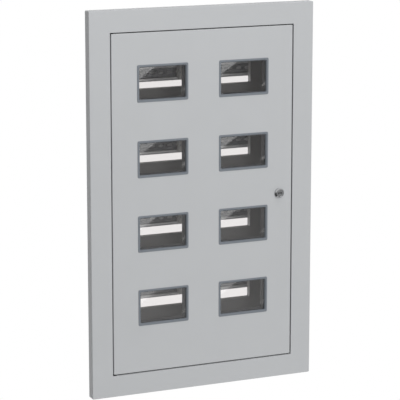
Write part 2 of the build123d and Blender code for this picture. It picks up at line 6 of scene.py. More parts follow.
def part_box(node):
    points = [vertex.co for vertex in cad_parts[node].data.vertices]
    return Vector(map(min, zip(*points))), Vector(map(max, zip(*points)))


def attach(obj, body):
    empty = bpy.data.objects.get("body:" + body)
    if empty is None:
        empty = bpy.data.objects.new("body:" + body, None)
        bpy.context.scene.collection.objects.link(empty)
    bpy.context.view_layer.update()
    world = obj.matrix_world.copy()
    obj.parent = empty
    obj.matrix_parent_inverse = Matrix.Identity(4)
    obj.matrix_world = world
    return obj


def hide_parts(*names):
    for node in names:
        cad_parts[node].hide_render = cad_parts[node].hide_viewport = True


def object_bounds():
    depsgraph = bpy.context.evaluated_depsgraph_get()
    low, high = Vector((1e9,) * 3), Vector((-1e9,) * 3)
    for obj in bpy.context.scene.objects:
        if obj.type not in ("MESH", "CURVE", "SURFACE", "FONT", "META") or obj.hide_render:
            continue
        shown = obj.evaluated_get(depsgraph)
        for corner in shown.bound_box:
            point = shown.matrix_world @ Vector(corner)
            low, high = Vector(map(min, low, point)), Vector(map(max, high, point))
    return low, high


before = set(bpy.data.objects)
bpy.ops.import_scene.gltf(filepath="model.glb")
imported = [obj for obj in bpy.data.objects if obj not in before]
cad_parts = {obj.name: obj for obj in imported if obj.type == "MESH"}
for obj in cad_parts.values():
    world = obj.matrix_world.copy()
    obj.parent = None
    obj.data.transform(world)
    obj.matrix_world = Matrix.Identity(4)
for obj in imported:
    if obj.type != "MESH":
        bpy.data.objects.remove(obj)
cad_low, cad_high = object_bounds()
scene = bpy.context.scene


# Front frame, box and door: sheet steel of 1.2 and 1.5 mm, cut, folded and spot welded, then powder coated.
# The coat is a satin light grey that hides the metal. Broad light rolls softly over the folds, and close to,
# the surface shows the faint orange peel of baked powder.
coat_light = "C0C2C4"
coat_dark = "BCBEC0"
coat_ior = 1.5
coat_roughness = (0.42, 0.52)
coat_drift_mm = 90.0
coat_drift_detail = 3.0
peel_mm = 4.0
peel_height_mm = 0.02
peel_strength = 0.35
fine_detail = 2.0
metre_mm = 1000
coated_sheets = ["front_frame", "side_wall_left", "side_wall_right", "top_wall", "bottom_wall", "back_wall",
                 "door_panel"]


def linear(code):
    """Linear colour for a shader socket from an sRGB hex value."""
    levels = [int(code[i:i + 2], 16) / 255 for i in (0, 2, 4)]
    return [v / 12.92 if v <= 0.04045 else ((v + 0.055) / 1.055) ** 2.4 for v in levels] + [1.0]


def add_node(tree, kind, properties, inputs):
    """Add a shader node with its settings; each input is a value, or the output that is linked to it."""
    node = tree.nodes.new("ShaderNode" + kind)
    for name, value in properties.items():
        setattr(node, name, value)
    for name, value in inputs.items():
        if isinstance(value, bpy.types.NodeSocket):
            tree.links.new(value, node.inputs[name])
        else:
            node.inputs[name].default_value = value
    return node


def new_material(name):
    """Empty material and its node tree."""
    material = bpy.data.materials.new(name)
    material.use_nodes = True
    material.node_tree.nodes.clear()
    return material, material.node_tree


def dress(names, material):
    """Give CAD pieces their finish."""
    for name in names:
        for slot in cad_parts[name].material_slots:
            slot.material = material


def powder_coat(name, dark, light, gloss_range):
    """Baked powder in one grey, a little uneven in tone and gloss."""
    material, tree = new_material(name)
    place = add_node(tree, "TexCoord", {}, {}).outputs["Object"]
    drift = add_node(tree, "TexNoise", {}, {"Vector": place, "Scale": metre_mm / coat_drift_mm,
                                            "Detail": coat_drift_detail})
    # A Mix node takes its share at socket 0 and its two colours at 6 and 7, and gives the mixed colour at 2.
    colour = add_node(tree, "Mix", {"data_type": "RGBA"},
                      {0: drift.outputs["Fac"], 6: linear(dark), 7: linear(light)})
    # Real orange peel is about 1 mm across, finer than a pixel of the picture, so it is drawn 4 mm across.
    peel = add_node(tree, "TexNoise", {}, {"Vector": place, "Scale": metre_mm / peel_mm,
                                           "Detail": fine_detail})
    roughness = add_node(tree, "MapRange", {}, {"Value": peel.outputs["Fac"], "To Min": gloss_range[0],
                                                "To Max": gloss_range[1]})
    bump = add_node(tree, "Bump", {}, {"Strength": peel_strength, "Distance": peel_height_mm / metre_mm,
                                       "Height": peel.outputs["Fac"]})
    shader = add_node(tree, "BsdfPrincipled", {}, {"Base Color": colour.outputs[2], "IOR": coat_ior,
                                                   "Roughness": roughness.outputs["Result"],
                                                   "Normal": bump.outputs["Normal"]})
    add_node(tree, "OutputMaterial", {}, {"Surface": shader.outputs[0]})
    return material


grey_coat = powder_coat("Light grey powder coated steel", coat_dark, coat_light, coat_roughness)
dress(coated_sheets, grey_coat)


# Spot welds: the cover posts are joined to the side walls by resistance welds, and then the walls are coated.
# Each weld leaves a shallow round dish with a slightly raised ring, in a row up the side of the box.
weld_pitch = 0.07
weld_inset = 0.008
weld_radius = 0.0036
weld_ring = 0.0029
weld_dish = 0.0022
weld_rise = 0.0004
weld_floor = 0.00015
weld_root = 0.0003
lathe_steps = 32
merge_distance = 1e-6
crease = math.radians(35)
to_back = Vector((0, 1, 0))
to_front = Vector((0, -1, 0))


def turned(name, outline, centre, axis):
    """Piece turned on a lathe: (radius, height) points swept once round the axis through the centre."""
    bpy.ops.object.select_all(action="DESELECT")
    bpy.ops.mesh.primitive_circle_add(vertices=len(outline), fill_type="NOTHING", location=(0, 0, 0))
    piece = bpy.context.object
    piece.name = name
    across = axis.orthogonal().normalized()
    for vertex, (radius, height) in zip(piece.data.vertices, outline):
        vertex.co = centre + across * radius + axis * height
    bpy.ops.object.mode_set(mode="EDIT")
    bpy.ops.mesh.select_all(action="SELECT")
    bpy.ops.mesh.spin(steps=lathe_steps, angle=2 * math.pi, center=centre, axis=axis)
    bpy.ops.mesh.select_all(action="SELECT")
    bpy.ops.mesh.remove_doubles(threshold=merge_distance)
    bpy.ops.mesh.delete_loose()
    bpy.ops.mesh.select_all(action="SELECT")
    bpy.ops.mesh.normals_make_consistent(inside=False)
    bpy.ops.object.mode_set(mode="OBJECT")
    return piece


def joined(name, parts):
    """One piece from several, with its edges shaded smooth or sharp by their angle."""
    bpy.ops.object.select_all(action="DESELECT")
    for part in parts:
        part.select_set(True)
    bpy.context.view_layer.objects.active = parts[0]
    bpy.ops.object.join()
    bpy.ops.object.shade_smooth_by_angle(angle=crease)
    parts[0].name = name
    return parts[0]


def repeated(name, model, places):
    """Copies of a model at each place, with their own meshes, joined; the model itself goes."""
    copies = []
    for place in places:
        copy = model.copy()
        copy.data = model.data.copy()
        copy.data.transform(place)
        scene.collection.objects.link(copy)
        copies.append(copy)
    bpy.data.objects.remove(model)
    return joined(name, copies)


def finish_piece(piece, material, body):
    """Give a new piece its material and its body."""
    piece.data.materials.clear()
    piece.data.materials.append(material)
    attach(piece, body)


def weld_row(start, end):
    """Evenly spaced places from start to end, about a weld pitch apart."""
    count = round((end - start).length / weld_pitch)
    return [start.lerp(end, i / count) for i in range(count + 1)]


weld = turned("weld", [(0, weld_floor), (weld_dish, weld_floor), (weld_ring, weld_rise), (weld_radius, 0),
                       (weld_radius, -weld_root), (0, -weld_root)], Vector((0, 0, 0)), to_back)
wall_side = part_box("back_wall")[1].x
weld_places = []
for side, post in ((-1, "cover_post_left"), (1, "cover_post_right")):
    post_low, post_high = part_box(post)
    middle_y = (post_low.y + post_high.y) / 2
    post_row = weld_row(Vector((side * wall_side, middle_y, post_low.z + weld_inset)),
                        Vector((side * wall_side, middle_y, post_high.z - weld_inset)))
    outwards = Matrix.Rotation(math.radians(-90 * side), 4, "Z")
    weld_places += [Matrix.Translation(point) @ outwards for point in post_row]
finish_piece(repeated("spot_welds", weld, weld_places), grey_coat, "enclosure")


# Cover posts, hinge blocks and the lock cam: steel, zinc plated in a barrel.
# The plating is a dull silver broken into pale and dark crystals a few millimetres across.
zinc_light = "C6C9CB"
zinc_dark = "A9ADB1"
spangle_mm = 7.0
zinc_roughness = (0.30, 0.48)

zinc, tree = new_material("Zinc plated steel")
place = add_node(tree, "TexCoord", {}, {}).outputs["Object"]
spangle = add_node(tree, "TexVoronoi", {}, {"Vector": place, "Scale": metre_mm / spangle_mm})
tone = add_node(tree, "RGBToBW", {}, {"Color": spangle.outputs["Color"]})
colour = add_node(tree, "Mix", {"data_type": "RGBA"},
                  {0: tone.outputs[0], 6: linear(zinc_dark), 7: linear(zinc_light)})
roughness = add_node(tree, "MapRange", {}, {"Value": tone.outputs[0], "To Min": zinc_roughness[0],
                                            "To Max": zinc_roughness[1]})
shader = add_node(tree, "BsdfPrincipled", {}, {"Base Color": colour.outputs[2], "Metallic": 1.0,
                                               "Roughness": roughness.outputs["Result"]})
add_node(tree, "OutputMaterial", {}, {"Surface": shader.outputs[0]})
dress(["cover_post_left", "cover_post_right", "hinge_block_top", "hinge_block_bottom", "lock_cam"], zinc)


# Rails: 35 mm top hat section, roll formed from strip that was galvanised first.
# The lips are painted bright as painted light, and the web behind them is painted dark as painted shade.
rail_lip_painted_light = "E4E6E8"
rail_web_painted_shade = "74787C"
rail_web_share = 0.6
rail_roughness = (0.35, 0.55)
roll_line_mm = 1.6
roll_line_length = 0.02

rails = [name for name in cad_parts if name.startswith("din_rail")]
low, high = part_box(rails[0])
galvanised, tree = new_material("Roll formed galvanised strip")
place = add_node(tree, "TexCoord", {}, {}).outputs["Object"]
depth = add_node(tree, "SeparateXYZ", {}, {0: place})
# Colour by depth: a painted highlight on the front lips, fading to painted shade on the recessed web.
lip_light_mask = add_node(tree, "MapRange", {}, {"Value": depth.outputs["Y"], "From Min": low.y,
                                       "From Max": low.y + (high.y - low.y) * rail_web_share,
                                       "To Min": 1.0, "To Max": 0.0})
along = add_node(tree, "Mapping", {}, {"Vector": place, "Scale": (roll_line_length, 1.0, 1.0)})
lines = add_node(tree, "TexNoise", {}, {"Vector": along.outputs[0], "Scale": metre_mm / roll_line_mm,
                                        "Detail": fine_detail})
colour = add_node(tree, "Mix", {"data_type": "RGBA"},
                  {0: lip_light_mask.outputs["Result"], 6: linear(rail_web_painted_shade), 7: linear(rail_lip_painted_light)})
roughness = add_node(tree, "MapRange", {}, {"Value": lines.outputs["Fac"], "To Min": rail_roughness[0],
                                            "To Max": rail_roughness[1]})
shader = add_node(tree, "BsdfPrincipled", {}, {"Base Color": colour.outputs[2], "Metallic": 1.0,
                                               "Roughness": roughness.outputs["Result"]})
add_node(tree, "OutputMaterial", {}, {"Surface": shader.outputs[0]})
dress(rails, galvanised)


# Rail screws: zinc plated pan head screws through the web of each rail into the back wall.
# The head is cold formed with a domed rim and a cross recess.
pan_height = 0.0022
pan_round = 0.0009
pan_round_share = 0.3
pan_shank_radius = 0.002
recess_length = 0.0048
recess_width = 0.0011
recess_depth = 0.0012
screw_reach = 0.02


def solid_boxes(name, reach):
    """Boxes of the like solids in a CAD node, which lie further than the reach from each other."""
    boxes = []
    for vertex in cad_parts[name].data.vertices:
        for low, high in boxes:
            if all(low[i] - reach < vertex.co[i] < high[i] + reach for i in range(3)):
                low[:] = [min(low[i], vertex.co[i]) for i in range(3)]
                high[:] = [max(high[i], vertex.co[i]) for i in range(3)]
                break
        else:
            boxes.append((vertex.co.copy(), vertex.co.copy()))
    return boxes


def front_middle(low, high):
    """Middle of the front face of a box."""
    return Vector(((low.x + high.x) / 2, low.y, (low.z + high.z) / 2))


def moves_to(boxes):
    """Moves that take the piece in the first box to each of the boxes."""
    return [Matrix.Translation(box[0] - boxes[0][0]) for box in boxes]


def cut(piece, tools, operation):
    """Cut a piece by other solids, or keep what it shares with them; the tools go."""
    for tool in tools:
        knife = piece.modifiers.new("cut", "BOOLEAN")
        knife.operation = operation
        knife.object = tool
        bpy.ops.object.select_all(action="DESELECT")
        bpy.context.view_layer.objects.active = piece
        bpy.ops.object.modifier_apply(modifier=knife.name)
        bpy.data.objects.remove(tool)


def slot_tool(centre, length, depth, width, turn):
    """Bar that cuts a slot into the face of a screw, half of it in the face: along X, then turned about Y."""
    bpy.ops.object.select_all(action="DESELECT")
    bpy.ops.mesh.primitive_cube_add(size=1, location=centre, rotation=(0, turn, 0),
                                    scale=(length, 2 * depth, width))
    bpy.ops.object.transform_apply(location=True, rotation=True, scale=True)
    return bpy.context.object


screw_boxes = solid_boxes("rail_screws", screw_reach)
low, high = screw_boxes[0]
pan_radius = (high.x - low.x) / 2
first_place = front_middle(low, high)
length = high.y - low.y
rim_step = pan_round * pan_round_share
pan_outline = [(0, 0), (pan_radius - pan_round, 0), (pan_radius - rim_step, rim_step),
               (pan_radius, pan_round), (pan_radius, pan_height), (pan_shank_radius, pan_height),
               (pan_shank_radius, length), (0, length)]
pan_screw = turned("pan_screw", pan_outline, first_place, to_back)
cut(pan_screw, [slot_tool(first_place, recess_length, recess_depth, recess_width, math.radians(turn))
                for turn in (0, 90)], "DIFFERENCE")
rail_screws = repeated("rail_screws_crossed", pan_screw, moves_to(screw_boxes))
finish_piece(rail_screws, zinc, "enclosure")
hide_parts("rail_screws")


# Rail stops: a light grey polyamide block clipped on the middle of each rail, between its two meters.
# Each is one moulding with a fine grain, clamped by a small slotted screw sunk in its face.
polyamide_grain_mm = 2.5
polyamide_ior = 1.53
polyamide_roughness = (0.35, 0.5)
stop_dark = "DFDFDB"
stop_light = "E8E8E4"
stop_reach = 0.04
clamp_radius = 0.0024
clamp_sink = 0.0003
clamp_height = 0.0013
clamp_slot = 0.0007
slot_tool_radii = 3


def polyamide(name, dark, light):
    """Coloured polyamide, slightly glossy, with the grain of its mould."""
    material, tree = new_material(name)
    place = add_node(tree, "TexCoord", {}, {}).outputs["Object"]
    grain = add_node(tree, "TexNoise", {}, {"Vector": place, "Scale": metre_mm / polyamide_grain_mm,
                                            "Detail": fine_detail})
    colour = add_node(tree, "Mix", {"data_type": "RGBA"},
                      {0: grain.outputs["Fac"], 6: linear(dark), 7: linear(light)})
    roughness = add_node(tree, "MapRange", {}, {"Value": grain.outputs["Fac"],
                                                "To Min": polyamide_roughness[0],
                                                "To Max": polyamide_roughness[1]})
    shader = add_node(tree, "BsdfPrincipled", {}, {"Base Color": colour.outputs[2], "IOR": polyamide_ior,
                                                   "Roughness": roughness.outputs["Result"]})
    add_node(tree, "OutputMaterial", {}, {"Surface": shader.outputs[0]})
    return material


dress(["rail_stops"], polyamide("Moulded light grey polyamide", stop_dark, stop_light))
stop_boxes = solid_boxes("rail_stops", stop_reach)
first_place = front_middle(*stop_boxes[0]) + to_back * clamp_sink
clamp_outline = [(0, 0), (clamp_radius - clamp_slot / 2, 0), (clamp_radius, clamp_slot / 2),
                 (clamp_radius, clamp_height), (0, clamp_height)]
clamp_screw = turned("clamp_screw", clamp_outline, first_place, to_back)
clamp_cutter = slot_tool(first_place, slot_tool_radii * clamp_radius, clamp_slot, clamp_slot, 0)
cut(clamp_screw, [clamp_cutter], "DIFFERENCE")
clamp_screws = repeated("stop_clamp_screws", clamp_screw, moves_to(stop_boxes))
finish_piece(clamp_screws, zinc, "enclosure")


# Neutral and earth bars with their screws: drawn brass, cut to length, drilled and tapped.
# Drawing leaves fine streaks along the bar. Blue and green polyamide supports carry them off the back wall.
brass_light = "E2C682"
brass_dark = "CBAC6C"
brass_roughness = (0.22, 0.4)
streak_mm = 1.2
streak_length = 0.04
streak_detail = 3.0
support_tones = {"neutral_bar_supports": ("Moulded blue polyamide", "1F55A0", "2A62AE"),
                 "earth_bar_supports": ("Moulded green polyamide", "2C8446", "379252")}

brass, tree = new_material("Drawn brass")
place = add_node(tree, "TexCoord", {}, {}).outputs["Object"]
along = add_node(tree, "Mapping", {}, {"Vector": place, "Scale": (streak_length, 1.0, 1.0)})
streaks = add_node(tree, "TexNoise", {}, {"Vector": along.outputs[0], "Scale": metre_mm / streak_mm,
                                          "Detail": streak_detail})
colour = add_node(tree, "Mix", {"data_type": "RGBA"},
                  {0: streaks.outputs["Fac"], 6: linear(brass_dark), 7: linear(brass_light)})
roughness = add_node(tree, "MapRange", {}, {"Value": streaks.outputs["Fac"], "To Min": brass_roughness[0],
                                            "To Max": brass_roughness[1]})
shader = add_node(tree, "BsdfPrincipled", {}, {"Base Color": colour.outputs[2], "Metallic": 1.0,
                                               "Roughness": roughness.outputs["Result"]})
add_node(tree, "OutputMaterial", {}, {"Surface": shader.outputs[0]})
dress(["neutral_bar", "earth_bar", "neutral_bar_screws", "earth_bar_screws"], brass)
for name, (finish, dark, light) in support_tones.items():
    dress([name], polyamide(finish, dark, light))


# Earth stud: a threaded M8 stud, welded to the back wall between the bars, with a washer and a full nut.
# The thread is rolled, so its crests are round, and the nut is chamfered on both faces.
stud_pitch = 0.00125
stud_groove = 0.0006
stud_plain = 0.003
stud_chamfer = 0.0008
thread_crest_end = 0.2
thread_root_start = 0.5
thread_root_end = 0.7
washer_radius = 0.009
washer_thickness = 0.0016
washer_edge = 0.0003
washer_bore = 0.0043
nut_flats = 0.013
nut_bore = 0.004
nut_face_share = 0.48
nut_blank_share = 1.02
nut_chamfer = math.radians(30)
hexagon_bar_share = 1.5


def thread_outline(radius, length, plain, pitch, groove, chamfer):
    """Half section of a stud: a plain foot, rolled thread up to the tip, and a chamfer."""
    outline = [(0, 0), (radius, 0)]
    height = plain
    while height + pitch < length - chamfer:
        outline += [(radius, height), (radius, height + pitch * thread_crest_end),
                    (radius - groove, height + pitch * thread_root_start),
                    (radius - groove, height + pitch * thread_root_end)]
        height += pitch
    return outline + [(radius, height), (radius, length - chamfer), (radius - chamfer, length), (0, length)]


def hexagon_nut(name, centre, flats, height, bore, corner_turn):
    """Nut or screw head, back from its centre: a turned blank with chamfers, cut by a hexagonal bar."""
    corner = flats / math.sqrt(3)
    face = flats * nut_face_share
    blank_radius = corner * nut_blank_share
    rim = (blank_radius - face) * math.tan(nut_chamfer)
    outline = [(bore, 0), (face, 0), (blank_radius, rim), (blank_radius, height - rim), (face, height),
               (bore, height)]
    blank = turned(name, outline, centre, to_back)
    # Half a lathe step keeps the blank's edges off the hexagon's corners, where the cut would leave slivers.
    half_step = Matrix.Rotation(math.pi / lathe_steps, 4, "Y")
    blank.data.transform(Matrix.Translation(centre) @ half_step @ Matrix.Translation(-centre))
    bpy.ops.object.select_all(action="DESELECT")
    bpy.ops.mesh.primitive_cylinder_add(vertices=6, radius=corner, depth=height * hexagon_bar_share,
                                        location=centre + Vector((0, height / 2, 0)),
                                        rotation=(math.pi / 2, corner_turn, 0))
    bpy.ops.object.transform_apply(location=True, rotation=True, scale=True)
    cut(blank, [bpy.context.object], "INTERSECT")
    return blank


low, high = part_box("earth_stud")
foot = Vector(((low.x + high.x) / 2, high.y, (low.z + high.z) / 2))
stud_radius = (high.x - low.x) / 2
earth_stud = turned("earth_stud_thread", thread_outline(stud_radius, high.y - low.y, stud_plain, stud_pitch,
                                                        stud_groove, stud_chamfer), foot, to_front)
earth_stud = joined("earth_stud_thread", [earth_stud])
finish_piece(earth_stud, zinc, "enclosure")
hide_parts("earth_stud")
low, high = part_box("earth_nut")
washer_face = high.y - washer_thickness
washer_outline = [(washer_bore, 0), (washer_radius, 0), (washer_radius, washer_thickness - washer_edge),
                  (washer_radius - washer_edge, washer_thickness), (washer_bore, washer_thickness)]
washer = turned("washer", washer_outline, Vector((foot.x, high.y, foot.z)), to_front)
nut = hexagon_nut("nut", Vector((foot.x, low.y, foot.z)), nut_flats, washer_face - low.y, nut_bore, 0)
earth_nut = joined("earth_nut_and_washer", [nut, washer])
finish_piece(earth_nut, zinc, "enclosure")
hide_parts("earth_nut")


# Cover plates: 1.2 mm steel with a slot over each rail, in a smoother grey than the box, darkened as painted
# shade.
# The folds behind the face and the lips of the slots are painted pale, as painted light where light falls on
# them.
# They hang on the posts by black polyamide thumb screws with a fluted rim and a slot for a coin.
# These greys are darker than the box's coat, as painted shade for the inside of the closed box.
cover_light = "B0B2B4"
cover_dark = "ACAEB0"
cover_roughness = (0.20, 0.28)
painted_lip_light = "E4E4E2"
lip_light_from = 0.0008
lip_light_to = 0.003
flute_count = 18
flute_depth = 0.0006
thumb_height = 0.005
thumb_round = 0.001
# The rounded rim has two steps, which rise and narrow by these shares of the rounding.
thumb_rim_steps = ((0.6, 0.3), (0.4, 0.7))
thumb_slot_width = 0.0014
thumb_slot_depth = 0.0012
thumb_shank_radius = 0.0025
thumb_shank_chamfer = 0.0005
thumb_dark = "17181A"
thumb_light = "222326"
faces_front = -0.5

cover_plates = [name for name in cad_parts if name.startswith("cover_plate")]
cover_coat_painted_shade = powder_coat("Grey powder coat darkened as painted shade", cover_dark, cover_light, cover_roughness)
tree = cover_coat_painted_shade.node_tree
shader = tree.nodes["Principled BSDF"]
plate_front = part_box(cover_plates[0])[0].y
# Behind the face the coat gives way to a pale painted light on the lips and folds.
depth = add_node(tree, "SeparateXYZ", {}, {0: add_node(tree, "TexCoord", {}, {}).outputs["Object"]})
lip_light_share = add_node(tree, "MapRange", {}, {"Value": depth.outputs["Y"], "From Min": plate_front + lip_light_from,
                                       "From Max": plate_front + lip_light_to})
colour = add_node(tree, "Mix", {"data_type": "RGBA"},
                  {0: lip_light_share.outputs["Result"], 6: shader.inputs["Base Color"].links[0].from_socket,
                   7: linear(painted_lip_light)})
tree.links.new(colour.outputs[2], shader.inputs["Base Color"])
dress(cover_plates, cover_coat_painted_shade)
thumb_boxes = solid_boxes("cover_screws", screw_reach)
low, high = thumb_boxes[0]
thumb_radius = (high.x - low.x) / 2
first_place = front_middle(low, high)
rim_height = thumb_height - thumb_round
bpy.ops.object.select_all(action="DESELECT")
bpy.ops.mesh.primitive_cylinder_add(vertices=2 * flute_count, radius=thumb_radius, depth=rim_height,
                                    location=first_place + Vector((0, thumb_round + rim_height / 2, 0)),
                                    rotation=(math.pi / 2, 0, 0))
thumb_head = bpy.context.object
bpy.ops.object.transform_apply(location=True, rotation=True, scale=True)
bpy.ops.object.mode_set(mode="EDIT")
bpy.ops.mesh.select_mode(type="VERT")
bpy.ops.mesh.select_all(action="DESELECT")
bpy.ops.object.mode_set(mode="OBJECT")
for vertex in thumb_head.data.vertices:
    around = math.atan2(vertex.co.z - first_place.z, vertex.co.x - first_place.x)
    vertex.select = round(around * flute_count / math.pi) % 2 == 1
bpy.ops.object.mode_set(mode="EDIT")
valley = 1 - flute_depth / thumb_radius
bpy.ops.transform.resize(value=(valley, 1, valley), center_override=first_place)
bpy.ops.mesh.select_mode(type="FACE")
bpy.ops.mesh.select_all(action="DESELECT")
bpy.ops.object.mode_set(mode="OBJECT")
for face in thumb_head.data.polygons:
    face.select = face.normal.y < faces_front
bpy.ops.object.mode_set(mode="EDIT")
for rise_share, narrow_share in thumb_rim_steps:
    bpy.ops.mesh.extrude_region_move(TRANSFORM_OT_translate={"value": (0, -thumb_round * rise_share, 0)})
    narrow = 1 - thumb_round * narrow_share / thumb_radius
    bpy.ops.transform.resize(value=(narrow, 1, narrow), center_override=first_place)
bpy.ops.object.mode_set(mode="OBJECT")
coin_slot = slot_tool(first_place, slot_tool_radii * thumb_radius, thumb_slot_depth, thumb_slot_width, 0)
cut(thumb_head, [coin_slot], "DIFFERENCE")
shank_end = high.y - low.y
thumb_shank = turned("thumb_shank", [(0, thumb_height), (thumb_shank_radius, thumb_height),
                                     (thumb_shank_radius, shank_end - thumb_shank_chamfer),
                                     (thumb_shank_radius - thumb_shank_chamfer, shank_end), (0, shank_end)],
                     first_place, to_back)
thumb_screws = repeated("cover_thumb_screws", joined("thumb_screw", [thumb_head, thumb_shank]),
                        moves_to(thumb_boxes))
finish_piece(thumb_screws, polyamide("Moulded black polyamide", thumb_dark, thumb_light),
             "enclosure")
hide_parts("cover_screws")


# Cable grommets and door buffers: black EPDM rubber, moulded, snapped into the end walls or glued to the lip.
# A grommet has a thin stepped membrane to be cut for the cable.
# The rubber is matt, with a grey bloom in patches.
rubber_dark = "161616"
rubber_bloom = "2A2A2A"
rubber_ior = 1.5
rubber_roughness = (0.65, 0.85)
bloom_mm = 12.0
bloom_detail = 4.0
grommet_reach = 0.04
grommet_neck = 0.0144
grommet_collar = 0.018
grommet_mouth = 0.0115
grommet_lip = 0.002
grommet_edge = 0.0006
wall_sheet = 0.0012
membrane_low = 0.001
membrane_high = 0.0016
membrane_back = 0.0003
membrane_steps = (0.003, 0.0055, 0.0085, 0.0115)

rubber, tree = new_material("Black EPDM rubber")
place = add_node(tree, "TexCoord", {}, {}).outputs["Object"]
bloom = add_node(tree, "TexNoise", {}, {"Vector": place, "Scale": metre_mm / bloom_mm,
                                        "Detail": bloom_detail})
colour = add_node(tree, "Mix", {"data_type": "RGBA"},
                  {0: bloom.outputs["Fac"], 6: linear(rubber_dark), 7: linear(rubber_bloom)})
roughness = add_node(tree, "MapRange", {}, {"Value": bloom.outputs["Fac"], "To Min": rubber_roughness[0],
                                            "To Max": rubber_roughness[1]})
shader = add_node(tree, "BsdfPrincipled", {}, {"Base Color": colour.outputs[2], "IOR": rubber_ior,
                                               "Roughness": roughness.outputs["Result"]})
add_node(tree, "OutputMaterial", {}, {"Surface": shader.outputs[0]})
dress(["door_buffers"], rubber)

membrane = [(0, membrane_low)]
step_heights = (membrane_low, membrane_high)
for i, radius in enumerate(membrane_steps):
    membrane += [(radius - grommet_edge / 2, step_heights[i % 2]), (radius, step_heights[(i + 1) % 2])]
grommet_outline = membrane + [
    (grommet_neck - 2 * grommet_edge, membrane_low), (grommet_neck, grommet_lip),
    (grommet_collar - grommet_edge, grommet_lip), (grommet_collar, grommet_lip - grommet_edge),
    (grommet_collar, 0), (grommet_neck, 0), (grommet_neck, -wall_sheet), (grommet_collar, -wall_sheet),
    (grommet_collar, -wall_sheet - grommet_lip + grommet_edge),
    (grommet_collar - grommet_edge, -wall_sheet - grommet_lip), (grommet_mouth, -wall_sheet - grommet_lip),
    (grommet_mouth, membrane_back), (0, membrane_back)]
for node, outwards in (("top_grommets", 1), ("bottom_grommets", -1)):
    boxes = solid_boxes(node, grommet_reach)
    low, high = boxes[0]
    wall_z = high.z - grommet_lip if outwards > 0 else low.z + grommet_lip
    grommet = turned("grommet", grommet_outline, Vector(((low.x + high.x) / 2, (low.y + high.y) / 2, wall_z)),
                     Vector((0, 0, outwards)))
    grommets = repeated(node + "_stepped", grommet, moves_to(boxes))
    finish_piece(grommets, rubber, "enclosure")
    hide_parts(node)


# Hinge pins: 5 mm steel pins with a collar, pressed through the corners of the door into the frame.
# Their near black colour is painted shade, so the gap round the door stays an even dark line.
pin_dark = "1B1B1D"
pin_light = "27282A"
pin_roughness = (0.45, 0.6)
pin_drift_mm = 3.0

# Near black metal standing in as painted shade for the gap round the door.
pin_gap_shade, tree = new_material("Near black steel as gap shade")
place = add_node(tree, "TexCoord", {}, {}).outputs["Object"]
drift = add_node(tree, "TexNoise", {}, {"Vector": place, "Scale": metre_mm / pin_drift_mm,
                                        "Detail": fine_detail})
colour = add_node(tree, "Mix", {"data_type": "RGBA"},
                  {0: drift.outputs["Fac"], 6: linear(pin_dark), 7: linear(pin_light)})
roughness = add_node(tree, "MapRange", {}, {"Value": drift.outputs["Fac"], "To Min": pin_roughness[0],
                                            "To Max": pin_roughness[1]})
shader = add_node(tree, "BsdfPrincipled", {}, {"Base Color": colour.outputs[2], "Metallic": 1.0,
                                               "Roughness": roughness.outputs["Result"]})
add_node(tree, "OutputMaterial", {}, {"Surface": shader.outputs[0]})
dress(["hinge_pin_top", "hinge_pin_bottom"], pin_gap_shade)


# Door earth stud: a threaded M6 stud with a round foot, welded inside the door for its bonding lead.
# It is the same plated steel as the earth stud in the box.
door_stud_radius = 0.003
door_stud_pitch = 0.001
door_stud_groove = 0.0005
door_stud_foot = 0.002
door_stud_foot_edge = 0.0014
door_stud_weld = 0.0004
door_stud_root = 0.0008

low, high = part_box("door_earth_stud")
foot = front_middle(low, high)
foot_radius = (high.x - low.x) / 2
foot_outline = [(0, 0), (foot_radius, 0), (foot_radius, door_stud_foot_edge),
                (door_stud_radius + door_stud_weld, door_stud_foot), (0, door_stud_foot)]
door_foot = turned("door_stud_foot", foot_outline, foot, to_back)
stud_outline = thread_outline(door_stud_radius, high.y - low.y - door_stud_root, door_stud_foot,
                              door_stud_pitch, door_stud_groove, stud_chamfer)
door_stud = turned("door_stud", stud_outline, foot + to_back * door_stud_root, to_back)
door_stud = joined("door_earth_stud_thread", [door_stud, door_foot])
finish_piece(door_stud, zinc, "door")
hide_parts("door_earth_stud")


# Window bezels: each is one moulding of blue grey ABS, pushed into the door from the front until it snaps in.
# The mould leaves an even matt grain, so the plastic has a soft sheen and no sharp reflections.
abs_light = "777D84"
abs_dark = "71777E"
abs_ior = 1.54
abs_roughness = (0.45, 0.6)
grain_mm = 2.0
grain_height_mm = 0.02
grain_strength = 0.4

moulded_abs, tree = new_material("Moulded blue grey ABS")
place = add_node(tree, "TexCoord", {}, {}).outputs["Object"]
# Mould grain is about 0.3 mm, and is drawn 2 mm across so that it shows.
grain = add_node(tree, "TexNoise", {}, {"Vector": place, "Scale": metre_mm / grain_mm, "Detail": fine_detail})
colour = add_node(tree, "Mix", {"data_type": "RGBA"},
                  {0: grain.outputs["Fac"], 6: linear(abs_dark), 7: linear(abs_light)})
roughness = add_node(tree, "MapRange", {}, {"Value": grain.outputs["Fac"], "To Min": abs_roughness[0],
                                            "To Max": abs_roughness[1]})
bump = add_node(tree, "Bump", {}, {"Strength": grain_strength, "Distance": grain_height_mm / metre_mm,
                                   "Height": grain.outputs["Fac"]})
shader = add_node(tree, "BsdfPrincipled", {}, {"Base Color": colour.outputs[2], "IOR": abs_ior,
                                               "Roughness": roughness.outputs["Result"],
                                               "Normal": bump.outputs["Normal"]})
add_node(tree, "OutputMaterial", {}, {"Surface": shader.outputs[0]})
bezels = [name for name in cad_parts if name.startswith("window_bezel")]
dress(bezels, moulded_abs)


# Window panes: 3 mm polycarbonate, cut from clear sheet and held in the bezel's groove.
# The sheet has a faint warm grey tint. Light that falls in through it is dimmed by a shade of its own.
pane_tint = "ECE9E8"
pane_shade = "ADACAB"
pane_ior = 1.58
pane_roughness = 0.02

